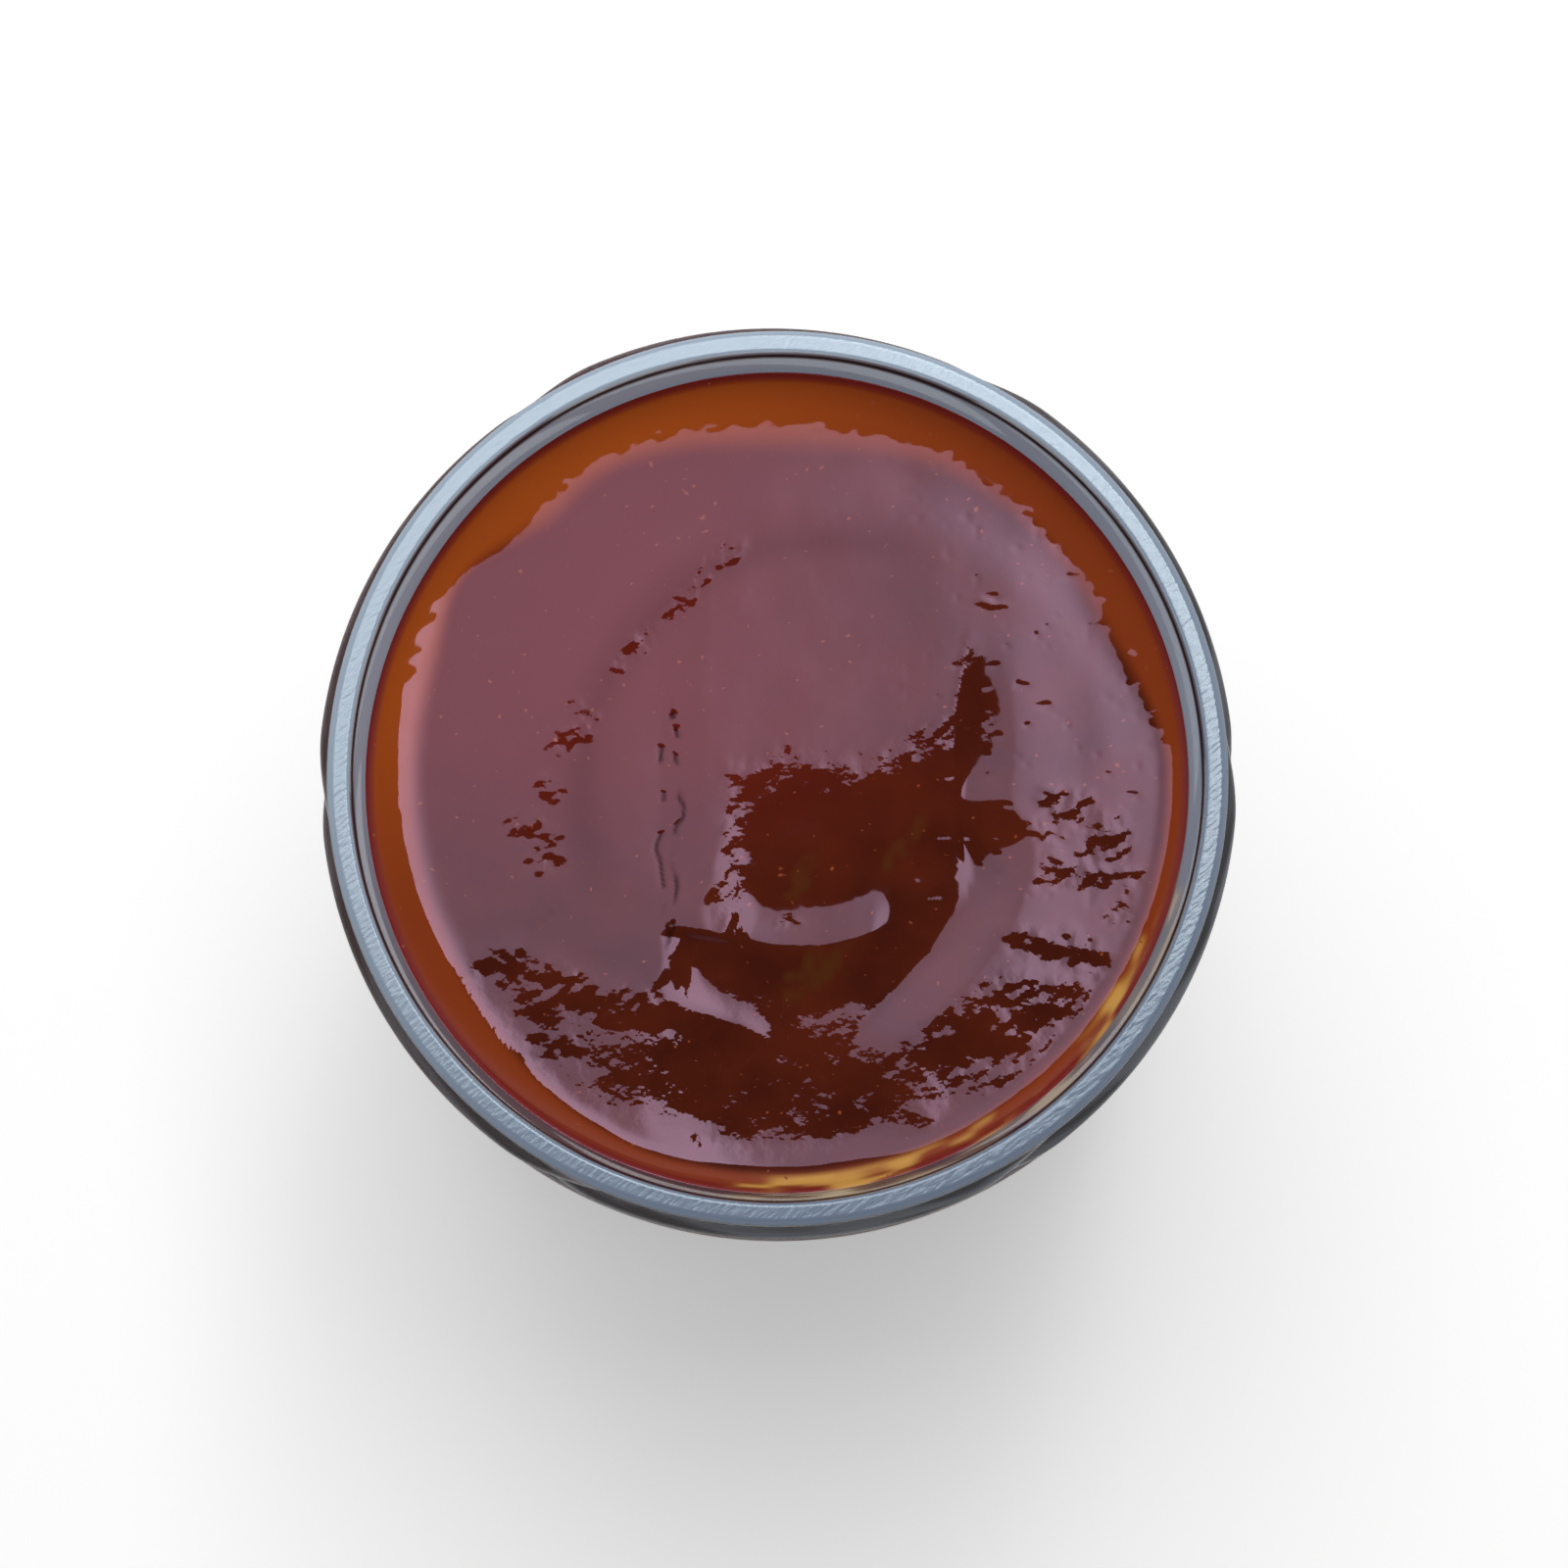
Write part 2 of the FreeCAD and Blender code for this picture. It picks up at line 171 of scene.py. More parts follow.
def foot_line(y):
    """Right edge of the scooped hollow, as x by y: straight beside the horn with a round
    notch under it, then curving in as a square of the distance."""
    back = soft_ramp(y - 2.0, 1.0)
    front = soft_ramp(17.3 - soft_ramp(y + 22.3, 1.0), 1.0)
    notch = 1.3 * hump((y + 2.2) / 2.4)
    return 17.0 - notch - 0.004 * back ** 2 - 0.036 * front ** 2


def left_line(x, y):
    """Left edge of the scooped hollow, as x by y: leaning, with an S-curve step outwards
    below the first fold."""
    step = -12.5 - 0.35 * np.clip(x + 9.0, 0.0, 6.0)
    return -3.4 + 0.09 * np.clip(y, -11.0, 1.0) - 4.4 * smooth((step - y) / 1.4)


def film_width(angle):
    """Width of the film that clings to the glass, by direction in degrees from the right:
    narrow in front and widest at the back, by S-curves and humps."""
    degrees = np.mod(np.degrees(angle) + 90.0, 360.0) - 90.0
    return (1.25 + 1.6 * smooth((degrees - 2.0) / 26.0) + 1.25 * hump((degrees - 88.0) / 22.0)
            + 0.7 * hump((degrees - 131.0) / 8.0) - 0.9 * hump((degrees - 148.0) / 9.0)
            - 0.1 * smooth((degrees - 160.0) / 20.0) - 1.5 * smooth((degrees - 205.0) / 50.0))


def film_at(x, y):
    """Rise of the film up the glass, and its share from 0 at its foot to 1 near the glass.

    It bends up with the power 2.6 over 2.5 times its width. Its steepness by direction is
    1 over the length of (cosine / about 0.23, sine / 0.0525), the sine only at the back,
    and is at most 1 / 2.2. Three things are added: a long low foot in front, which falls
    off as a square, a short lip at the glass, which falls off as e to the minus gap over
    0.35, and fine lumps where the film frays, about its own width from the glass.
    """
    gap = np.maximum(FILM_RADIUS - np.hypot(x, y), 0.0)
    angle = np.arctan2(y, x)
    front, back = np.maximum(-np.sin(angle), 0.0), np.maximum(np.sin(angle), 0.0)
    width = film_width(angle)
    sides = np.abs(np.cos(angle)) / (0.23 + 0.03 * np.cos(angle))
    steep = 1.0 / np.maximum(np.hypot(sides, back / 0.0525), 2.2)
    rise = 2.17 * width * steep * np.maximum(1.0 - gap / (2.5 * width), 0.0) ** 2.6
    foot = 0.27 * front * np.maximum(1.0 - gap / 7.0, 0.0) ** 2
    lip = 0.3 * np.exp(-gap / 0.35)
    frayed = hump((gap - width) / 0.9) * smooth((y + 12.0) / 10.0)
    fray = 0.006 * lumps(x, y, 0.75, 25, 1.5, 60) + 0.003 * lumps(x, y, 0.5, 26)
    share = smooth((1.85 - 0.15 * front - gap / width) / 0.75)
    return rise + foot + lip + frayed * fray, share


def dish_at(x, y):
    """Depth of the round dish that the spoon pressed, and the distance beyond its edge.

    The depth goes with 1 less the square of the share of the radius, to the power 1.5;
    the radius grows by up to 2.2 towards the front.
    """
    across, along = x - DISH_MIDDLE[0], y - DISH_MIDDLE[1]
    away = np.hypot(across, along)
    radius = DISH_RADIUS + 2.2 * (0.5 - 0.5 * along / np.maximum(away, 0.01))
    return -DISH_DEPTH * np.maximum(1.0 - (away / radius) ** 2, 0.0) ** 1.5, away - radius


def hollow_floor(x, y):
    """Height along the floor of the hollow: a parabola and a straight slope in y, less
    the dish, so that the hollow doesn't follow the dish down."""
    run = y - LEVEL_FRONT
    bowl = 0.5 * (1 - BOWL_SHARE) * LEVEL_SLOPE * run ** 2
    return bowl + SLOPE_MARGIN * run - dish_at(x, y)[0]


def stirred(x, y):
    """Broad relief: the sum of the film up the glass, the bowl, the dish and its crest,
    the scooped hollow, two folds and a low apron in front.

    The hollow is as deep as its floor has fallen since its head line, times an S-curve at
    its left, right and outer edge. Each fold is a hump across a curved line.
    """
    away = np.hypot(x, y)
    film = film_at(x, y)[0]
    dish, beyond = dish_at(x, y)
    crest = CREST_HEIGHT * hump((beyond - 1.8) / 2.2) * smooth((y + 6.0) / 12.0)
    bowl = 0.5 * BOWL_SHARE * LEVEL_SLOPE * soft_ramp(y - LEVEL_FRONT, 2.0) ** 2

    head = head_line(x, y)
    down = head - soft_ramp(head - y, 0.5)
    down = HOLLOW_FRONT + soft_ramp(down - HOLLOW_FRONT, 1.5)
    fall = hollow_floor(x, down) - hollow_floor(x, head)
    left_width = 3.6 + 2.4 * hump((y + 11.6) / 1.8) + 6.0 * smooth((-16.5 - y) / 5.0)
    left = smooth(0.5 + (x - left_line(x, y)) / left_width)
    right_width = 4.6 + 2.0 * smooth((1.0 - y) / 6.0)
    right = 1.0 - smooth((x - foot_line(y)) / right_width)
    hollow = fall * left * right * smooth((37.6 - away) / 5.4)

    line = -15.1 + 0.032 * (x - 1.8) ** 2
    first = FIRST_FOLD_HEIGHT * hump((y - line) / np.where(y > line, 2.3, 1.7))
    first = first * smooth((8.4 - np.abs(x - 2.2)) / 2.2)
    line = -21.3 - 0.38 * (x + 5.5) - 0.015 * (x + 5.5) ** 2
    second = SECOND_FOLD_HEIGHT * hump((y - line) / 1.4) * smooth((5.8 - np.abs(x + 5.6)) / 3.0)

    apron = soft_ramp(y + 31.5, 0.8) - soft_ramp(y + 19.0 - 6.0 * smooth((x - 8.0) / 8.0), 2.0)
    apron = 0.0070 * apron * smooth((x + 11.0) / 5.0) * (1.0 - smooth((x - 21.0) / 7.0))
    return film + dish + crest + bowl + hollow + first + second + apron


TORN_PLACES = [
    # x, y, half length, half width, turn in degrees
    (-4.8, 20.6, 1.6, 0.7, 25), (-8.9, 16.2, 1.5, 0.9, 50), (-12.6, 12.6, 1.5, 0.8, 45),
    (-18.8, 4.0, 1.7, 1.0, 20), (-18.6, 7.0, 0.8, 0.7, 60), (-22.0, -4.6, 2.0, 1.3, -25),
    (-20.5, -0.5, 1.2, 0.8, -40), (-25.5, -16.6, 2.6, 1.5, 25), (-19.3, -18.5, 3.5, 1.6, -30),
    (-13.5, -20.5, 4.5, 1.6, -12), (-20.5, -24.0, 2.8, 1.4, -5), (26.5, -2.2, 2.2, 1.2, -20),
    (29.5, -5.0, 2.0, 1.6, 60), (26.8, -8.0, 2.6, 1.2, -10), (31.5, -8.5, 1.2, 0.6, -15),
    (23.5, -14.8, 3.2, 1.2, -15), (27.5, -15.6, 2.6, 1.3, -35), (20.5, -18.8, 2.6, 1.3, 15),
    (18.5, -23.0, 5.5, 3.4, 25), (19.3, 16.2, 1.1, 0.32, -5), (18.9, 5.2, 0.35, 1.6, -3),
    (25.0, -20.0, 2.6, 1.6, 40), (24.3, -4.6, 1.5, 0.8, -30), (28.2, -6.2, 1.6, 0.9, 50),
    (24.8, -8.6, 1.4, 0.8, 15), (33.0, 9.6, 1.6, 0.7, -62), (34.4, 5.4, 1.3, 0.6, -75),
    (1.0, -12.7, 0.9, 0.35, 0), (-7.0, 18.4, 0.8, 0.5, 40), (-14.6, 10.4, 0.8, 0.5, 40),
    (-17.0, 5.6, 0.7, 0.5, 30), (-21.0, -7.2, 1.4, 0.9, 10), (30.6, -11.8, 1.2, 0.7, 20),
]

# painted faint olive reflections on the floor of the hollow
PAINTED_REFLECTION_SPOTS = [
    # x, y, half length, half width, turn in degrees
    (11.0, -5.9, 4.3, 1.0, 52), (2.2, -8.6, 2.6, 1.3, 60), (3.4, -17.2, 5.2, 2.0, 38),
]


def torn_places(x, y):
    """Share of the torn places, and how much higher each one's back lies than its front.

    A share is e to the minus cube of the distance, counted in the ellipse's own half
    lengths and widths, so it is 1 in the middle and falls off steeply at the edge.
    """
    share, lean = np.zeros_like(x), np.zeros_like(x)
    for middle_x, middle_y, length, width, turn in TORN_PLACES:
        along, across = along_across(x, y, middle_x, middle_y, turn)
        along, across = along / (1.25 * length), across / (1.25 * width)
        here = np.exp(-(along * along + across * across) ** 1.5)
        share = np.maximum(share, here)
        lean += here * (y - middle_y) * np.clip(0.6 * length - 0.5, 0.0, 1.0)
    return share, lean


def front_share(x, y):
    """1 over the broken-up front of the sauce, calmer in its middle, by S-curves."""
    front = smooth((-15.5 - y) / 6.0) * smooth((35.0 - np.hypot(x, y)) / 2.0)
    heart = smooth((x + 10.0) / 4.0) * (1.0 - smooth((x - 13.0) / 5.0))
    return front * (1.0 - 0.45 * heart * smooth((31.0 - np.hypot(x, y)) / 2.0))


def rim_share(x, y):
    """1 along the upper and the left edge of the scooped hollow, as humps across them."""
    head = hump((y - head_line(x, y)) / 1.6)
    head = head * smooth((x + 6.0) / 3.0) * smooth((19.0 - x) / 3.0)
    left = hump((x - left_line(x, y)) / 1.2)
    left = left * smooth((2.0 - y) / 2.0) * smooth((y + 18.0) / 3.0)
    return np.maximum(head, left)


def pores(x, y):
    """Small sparse pits where bubbles have burst, deepest at the right: the peaks of
    lumps above 0.6, turned down."""
    pit = smooth((lumps(x, y, 0.9, 51) - 0.60) / 0.25)
    at_right = 0.10 + 0.90 * smooth((x - 8.0) / 12.0)
    return -PORE_DEPTH * pit * at_right * smooth((y + 20.0) / 6.0)


def torn(x, y):
    """Small steps of the pulpy skin: lumps of 0.5 to 6.5 mm, by the shares of the front,
    of the hollow's rim and of the torn places, and each torn place's lean."""
    front = (0.070 * lumps(x, y, 6.5, 6, 1.3, 60) + 0.042 * lumps(x, y, 3.2, 1, 1.35, 80)
             + 0.024 * lumps(x, y, 1.5, 2, 1.4, 110) + 0.0095 * lumps(x, y, 0.75, 3, 1.4, 75))
    skin = 0.020 * lumps(x, y, 1.5, 31, 1.4, 75) + 0.014 * lumps(x, y, 0.75, 32, 1.6, 65)
    fine = 0.016 * lumps(x, y, 0.9, 33, 1.3, 75) + 0.013 * lumps(x, y, 0.5, 34, 1.3, 65)
    tips = lumps(x, y, 1.1, 8, 1.3, 70)
    share, lean = torn_places(x, y)
    return (0.80 * front_share(x, y) * front + 1.6 * rim_share(x, y) * skin
            + share * (0.7 * skin + 2.0 * fine + 0.03 * tips) + 0.03 * lean)


def crease_and_painted_shade(x, y):
    """Share of a thin broken crease round a long narrow ellipse at the left of the hollow, which
    is pressed in and gets painted shade: a hump across the ellipse's line, broken by lumps."""
    across = (x + 9.7 + 0.25 * np.sin(0.7 * y) + 0.35 * lumps(x, y, 1.6, 42)) / 0.8
    away = np.hypot(across, (y + 4.2) / 10.0)
    off = (away - 1.0) * 0.8 / np.maximum(np.abs(across) / np.maximum(away, 0.01), 0.35)
    return hump(off / 0.22) * smooth(0.40 + 1.6 * lumps(x, y, 0.8, 41, 1.5, 70))


def painted_glow_patches(x, y):
    """Share of the painted golden glow of light through the thin film at the front right:
    lumps stretched along the glass."""
    degrees = np.degrees(np.arctan2(y, x))
    place = smooth((degrees + 104.0) / 10.0) * smooth((-8.0 - degrees) / 8.0)
    along, out = 36.0 * np.radians(degrees), np.hypot(x, y)
    grain = 0.9 * lumps(along, out, 2.6, 71, 1.6) + 0.5 * lumps(along, out, 0.3, 72, 9.0)
    return place * smooth(0.2 + 1.1 * grain) * smooth((out - 35.0) / 0.8)


def painted_reflections(x, y):
    """Share of three painted faint reflections on the floor of the hollow, as ellipses whose
    edges are moved by lumps."""
    share = np.zeros_like(x)
    for middle_x, middle_y, length, width, turn in PAINTED_REFLECTION_SPOTS:
        along, across = along_across(x, y, middle_x, middle_y, turn)
        along, across = along / length, across / width
        inside = 0.8 * (1.0 - along * along - across * across)
        share = np.maximum(share, smooth(inside + 0.5 * lumps(x, y, 0.9, 81)))
    return share


def painted_arc_shade(x, y):
    """Share of the painted shade along an arc just inside the dish's edge, at the left and the
    back: a hump across the edge."""
    arc = hump((dish_at(x, y)[1] + 1.0) / 1.5)
    return arc * smooth((y + 14.0) / 10.0) * smooth((16.0 - x) / 12.0)


def sauce_height(x, y):
    """Sum of the level, the broad relief, the torn steps, the wrinkle, the pores and a
    slight unevenness of lumps of 0.7 to 7 mm."""
    uneven = (0.0010 * lumps(x, y, 0.7, 21) + 0.007 * lumps(x, y, 2.8, 23, 1.0, 40)
              + 0.02 * lumps(x, y, 7.0, 24, 1.0, 15))
    creased = WRINKLE_DEPTH * crease_and_painted_shade(x, y)
    return SAUCE_LEVEL + stirred(x, y) + torn(x, y) - creased + pores(x, y) + uneven


# ---------------------------------------------------------------- meshes
def rounded(corners):
    """An open outline with its corners rounded, as an array of (radius, height).

    Each corner is (radius, height, round, step). A rounded corner is an arc that touches
    both of its sides; the run up to a corner and its arc are divided evenly at its step.
    """
    spots = [np.array(corner[:2], float) for corner in corners]
    pieces = [spots[0][None]]
    for index in range(1, len(corners)):
        here, last = spots[index], pieces[-1][-1]
        bend, step = corners[index][2:]
        if bend == 0:
            ends, arc = here, None
        else:
            back = (spots[index - 1] - here) / np.linalg.norm(spots[index - 1] - here)
            ahead = (spots[index + 1] - here) / np.linalg.norm(spots[index + 1] - here)
            half = 0.5 * math.acos(float(np.clip(back @ ahead, -1.0, 1.0)))
            reach = bend / math.tan(half)
            inward = (back + ahead) / np.linalg.norm(back + ahead)
            middle = here + inward * bend / math.sin(half)
            ends = here + back * reach
            start = ends - middle
            finish = here + ahead * reach - middle
            swing = math.atan2(start[0] * finish[1] - start[1] * finish[0], start @ finish)
            count = max(int(abs(swing) * bend / step), 1 + int(abs(swing) / 0.3))
            turn = swing * np.linspace(0.0, 1.0, count + 1)[1:]
            arc = middle + np.stack([start[0] * np.cos(turn) - start[1] * np.sin(turn),
                                     start[0] * np.sin(turn) + start[1] * np.cos(turn)], 1)
        run = max(int(np.linalg.norm(ends - last) / step), 1)
        share = np.linspace(0.0, 1.0, run + 1)[1:, None]
        pieces.append(last + (ends - last) * share)
        if arc is not None:
            pieces.append(arc)
    return np.concatenate(pieces)


def dome(edge_radius, edge_height, middle_height, count):
    """Points of a circle's arc over the axis, evenly spaced in radius: its middle and its
    edge are left out."""
    rise = middle_height - edge_height
    curve = (edge_radius ** 2 + rise ** 2) / (2 * rise)
    radius = edge_radius * np.arange(1, count) / count
    return np.stack([radius, middle_height - curve + np.sqrt(curve ** 2 - radius ** 2)], 1)


def turned(name, rings, first_pole, last_pole):
    """A closed skin from rings of points: quads from ring to ring, and a fan at each pole."""
    ring_count, around = rings.shape[:2]
    points = np.concatenate([rings.reshape(-1, 3), [first_pole], [last_pole]])
    start = np.arange(ring_count - 1)[:, None] * around
    step = np.arange(around)[None, :]
    following = (step + 1) % around
    quads = np.stack([start + step, start + following, start + around + following,
                      start + around + step], -1).reshape(-1, 4)
    ring = np.arange(around)
    ring_next = (ring + 1) % around
    last = (ring_count - 1) * around
    first_fan = np.stack([np.full(around, ring_count * around), ring_next, ring], -1)
    last_pole_row = np.full(around, ring_count * around + 1)
    last_fan = np.stack([last_pole_row, last + ring, last + ring_next], -1)
    faces = quads.tolist() + first_fan.tolist() + last_fan.tolist()
    mesh = bpy.data.meshes.new(name)
    mesh.from_pydata((points * MM).tolist(), [], faces)
    mesh.shade_smooth()
    mesh.update()
    piece = bpy.data.objects.new(name, mesh)
    bpy.context.scene.collection.objects.link(piece)
    return piece


def swept(outline, around):
    """Rings of an outline carried round the axis, counter-clockwise from above: radius
    times cosine, radius times sine, height."""
    angle = np.linspace(0.0, 2 * math.pi, around, endpoint=False)
    radius, height = outline[:, 0, None], outline[:, 1, None]
    return np.stack([radius * np.cos(angle), radius * np.sin(angle), height + 0.0 * angle], -1)


def vertex_rows(piece, what):
    """The places or the normals of a piece's vertices, one row each."""
    values = np.zeros(len(piece.data.vertices) * 3, np.float32)
    piece.data.vertices.foreach_get(what, values)
    return values.reshape(-1, 3)


def write_shares(piece, shares):
    """Each share, from 0 to 1, as an attribute on the piece's vertices for its material."""
    for name, share in shares.items():
        attribute = piece.data.attributes.new(name, "FLOAT", "POINT")
        attribute.data.foreach_set("value", share.astype(np.float32))


def thread_stand(height, angle):
    """How far the threads stand out: each is a slanting piece of a turn whose section is a
    half circle to the power 1.3, and whose ends taper as an S-curve."""
    stand = np.zeros(np.broadcast(height, angle).shape)
    for start in range(THREAD_STARTS):
        middle_angle = 2 * math.pi * start / THREAD_STARTS + 0.5 * THREAD_SPAN
        along = np.mod(angle - middle_angle + math.pi, 2 * math.pi) - math.pi
        share = along / THREAD_SPAN
        middle = THREAD_HEIGHT + THREAD_RISE * np.clip(share, -0.6, 0.6)
        taper = smooth((0.62 - np.abs(share)) / 0.25)
        away = (height - middle) / THREAD_HALF_HEIGHT
        section = np.sqrt(np.maximum(1.0 - away ** 2, 0.0)) ** 1.3
        stand = np.maximum(stand, THREAD_REACH * taper * section)
    return stand


def glass_outline():
    """The jar's wall as (radius, height) points, from beside the pole under the base round
    to beside the pole on the floor inside."""
    wall = rounded([
        (STAND_RADIUS - 2.2, 0.38, 0, 1.0), (STAND_RADIUS, 0.0, 0.8, 1.0),
        (BASE_RADIUS, 0.0, 4.0, 0.6), (BODY_RADIUS, SHOULDER_HEIGHT, 3.0, 3.0),
        (WAIST_RADIUS, WAIST_FOOT, 0.9, 0.4), (WAIST_RADIUS, BEAD_FOOT, 0.4, 0.4),
        (BEAD_RADIUS, BEAD_FOOT + 0.9, 0.9, 0.3), (BEAD_RADIUS, BEAD_TOP - 0.9, 0.9, 0.3),
        (FINISH_RADIUS, BEAD_TOP, 0.4, 0.3), (FINISH_RADIUS, JAR_HEIGHT, 0.7, 0.2),
        (MOUTH_RADIUS, JAR_HEIGHT, 0.35, 0.1),
        (MOUTH_RADIUS - 0.5, JAR_HEIGHT - MOUTH_CHAMFER, 0, 0.15),
        (BORE_RADIUS, BORE_TOP, 5.0, 0.4), (BORE_RADIUS, BORE_FOOT, 5.0, 0.8),
        (CAVITY_TOP_RADIUS, CAVITY_TOP, 5.0, 0.8),
        (CAVITY_BASE_RADIUS, FLOOR_EDGE, 6.0, 3.0), (24.0, FLOOR_MIDDLE - 0.95, 0, 3.0),
    ])
    under = dome(STAND_RADIUS, 0.0, PUSH_UP, 8)[:-1]
    floor = dome(CAVITY_BASE_RADIUS, FLOOR_EDGE, FLOOR_MIDDLE, 9)[:5][::-1]
    return np.concatenate([under, wall, floor])


def glass_shares(x, y, height, facing):
    """Where each finish of the glass lies, with its painted light, shade and reflections, from 0
    to 1.

    S-curves of the height and the radius part the sealing land, the throat within and the
    finish outside it. The painted dark shade line at the crease is e to the minus fourth power
    of the height from its middle. The painted cream highlight streaks and the painted glints are
    lumps drawn out round the jar. The throat's haze and its painted light grow towards the back,
    the land's painted light towards the back left, and the outside's painted dark reflection is
    stronger at the front right and where it faces up.
    """
    radius = np.hypot(x, y)
    angle = np.arctan2(y, x)
    degrees = np.degrees(angle)
    within = smooth((MOUTH_RADIUS + 0.3 - radius) / 0.2) * smooth((height - THROAT_FOOT) / 0.6)
    land = smooth((height - JAR_HEIGHT + LAND_DEPTH) / 0.12)
    land = land * np.where(within > 0.5, 1.0, height > JAR_HEIGHT - 0.55)
    # painted shade: a dark line along the crease just inside the land
    painted_crease_shade = within * np.exp(-((height - JAR_HEIGHT + CREASE_DROP) / CREASE_HALF_HEIGHT) ** 4)
    # painted highlights: cream streaks of the lamp's light in the throat at the front right
    painted_cream_highlight = (1.4 * lumps(0.65 * degrees, height, 2.8, 62, 1.5)
             + 0.5 * lumps(0.65 * degrees, height, 0.4, 63, 9.0))
    painted_cream_highlight = smooth(painted_cream_highlight) * smooth((degrees + 112.0) / 10.0) * smooth((-8.0 - degrees) / 8.0)
    painted_cream_highlight = painted_cream_highlight * within
    # painted light: the throat lighter towards the back, the land towards the back left
    lit = smooth(0.80 + 0.70 * (0.90 * y + 0.05 * x) / radius)
    land_lit = smooth(0.5 + 0.5 * (0.8 * y - 0.45 * x) / radius)
    # the haze's share grows with the painted light, and takes in the painted highlights and shade
    haze_and_painted_light = np.maximum(0.42 + 0.43 * lit, np.maximum(painted_crease_shade, painted_cream_highlight))
    # painted dark reflection on the outside, strongest at the front right
    dim = 0.25 + 0.68 * smooth(0.5 + 0.5 * (0.7 * x - 0.7 * y) / radius)
    outside = (1.0 - land) * (1.0 - within) * smooth((height - 86.0) / 2.0)
    return {
        "land": land,
        "painted_crease_shade": painted_crease_shade,
        "lit": np.where(land > 0.5, land_lit, lit),
        "inner": (1.0 - land) * within * haze_and_painted_light,
        "painted_cream_highlight": 0.7 * painted_cream_highlight,
        # share of the painted dark reflection outside, more where the glass faces up
        "outer": outside * dim * (0.2 + 0.8 * smooth(facing / 0.4)),
        # painted glints drawn out along the threads
        "glints": smooth(0.5 + 0.9 * lumps(16.0 * angle, height, 0.4, 61, 8.0)),
    }


def make_glass():
    """The jar's wall: its outline turned round the axis, with the threads pushed out of it."""
    outline = glass_outline()
    rings = swept(outline, GLASS_AROUND)
    angle = np.arctan2(rings[..., 1], rings[..., 0])
    finish = (outline[:, 0] > FINISH_RADIUS - 0.02) & (outline[:, 1] > BEAD_TOP)
    stand = thread_stand(rings[..., 2], angle) * finish[:, None]
    rings[..., :2] *= (1.0 + stand / outline[:, 0, None])[..., None]
    piece = turned("jar_of_glass", rings, (0.0, 0.0, PUSH_UP), (0.0, 0.0, FLOOR_MIDDLE))
    x, y, height = (vertex_rows(piece, "co") / MM).T
    write_shares(piece, glass_shares(x, y, height, vertex_rows(piece, "normal")[:, 2]))
    return piece


def sauce_shares(x, y, height):
    """Where each look of the sauce lies, from 0 to 1. All but the back's brighter red end
    at the edge of the top, and that goes on down the sides."""
    torn_share = torn_places(x, y)[0] + 0.8 * front_share(x, y) + rim_share(x, y)
    # painted light: a golden glow through the thin film at the front right
    painted_glow = painted_glow_patches(x, y)
    shares = {
        "torn": np.clip(torn_share, 0.0, 1.0),
        "film": film_at(x, y)[1],
        "at_glass": smooth((np.hypot(x, y) - 36.1) / 0.6) * (1.0 - painted_glow),
        "painted_glow": painted_glow,
        "painted_reflections": painted_reflections(x, y),
        # painted shade in the crease and, more faintly, along the dish's arc
        "crease_and_painted_shade": np.maximum(crease_and_painted_shade(x, y), 0.20 * painted_arc_shade(x, y)),
        "bright": smooth((26.0 - x) / 40.0) * smooth((y + 14.0) / 22.0),
    }
    on_top = smooth((height - SIDE_TOP) / 1.5)
    shares = {name: share * on_top for name, share in shares.items()}
    shares["bright"] = shares["bright"] + 0.9 * (1.0 - on_top)
    return shares


def make_sauce():
    """The filling: its stirred top on rings of even spacing, then down just inside the wall."""
    angle = np.linspace(0.0, 2 * math.pi, SAUCE_AROUND, endpoint=False)
    radius = SAUCE_EDGE * (np.arange(1, SAUCE_RINGS + 1) / SAUCE_RINGS)[:, None]
    x, y = radius * np.cos(angle), radius * np.sin(angle)
    top = np.stack([x, y, sauce_height(x, y)], -1)
    side = rounded([
        (BORE_RADIUS, BORE_TOP, 0, 6.0), (BORE_RADIUS, BORE_FOOT, 0, 6.0),
        (CAVITY_TOP_RADIUS, CAVITY_TOP, 0, 6.0), (CAVITY_BASE_RADIUS, FLOOR_EDGE, 6.0, 30.0),
        (20.0, FLOOR_MIDDLE - 0.67, 0, 20.0),
    ])
    side[:, 0] += INTO_WALL
    side[-1, 0] -= INTO_WALL
    side[:, 1] -= np.where(side[:, 1] < 12.0, INTO_WALL, 0.0)
    side = side[1:]
    rings = np.concatenate([top, swept(side, SAUCE_AROUND)])[::-1]
    middle = float(sauce_height(np.zeros(1), np.zeros(1))[0])
    piece = turned("barbecue_sauce", rings, (0.0, 0.0, FLOOR_MIDDLE - INTO_WALL),
                   (0.0, 0.0, middle))
    write_shares(piece, sauce_shares(*(vertex_rows(piece, "co") / MM).T))
    return piece


glass = make_glass()
sauce = make_sauce()
for piece, node, slot in ((glass, "glass_jar", "jar_glass"), (sauce, "sauce", "barbecue_sauce")):
    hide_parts(node)
    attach(piece, "root")


# ---------------------------------------------------------------- materials
def linear(code):
    """An sRGB hex colour as linear red, green, blue and alpha."""
    parts = [int(code[index:index + 2], 16) / 255 for index in (1, 3, 5)]
    return tuple(part / 12.92 if part <= 0.04045 else ((part + 0.055) / 1.055) ** 2.4
                 for part in parts) + (1.0,)


def cells(size):
    """Cells per metre of a pattern whose cells have the given size in millimetres."""
    return 1.0 / (size * MM)


def add(tree, kind, inputs=(), **settings):
    """One node with its settings; inputs lists (socket, value) or (socket, node, output)."""
    node = tree.nodes.new("ShaderNode" + kind)
    for name, value in settings.items():
        setattr(node, name, value)
    for socket, value, *output in inputs:
        if output:
            tree.links.new(value.outputs[output[0]], node.inputs[socket])
        else:
            node.inputs[socket].default_value = value
    return node


def new_material(name):
    """An empty material made of nodes, and its node tree."""
    material = bpy.data.materials.new(name)
    material.use_nodes = True
    material.node_tree.nodes.clear()
    return material, material.node_tree


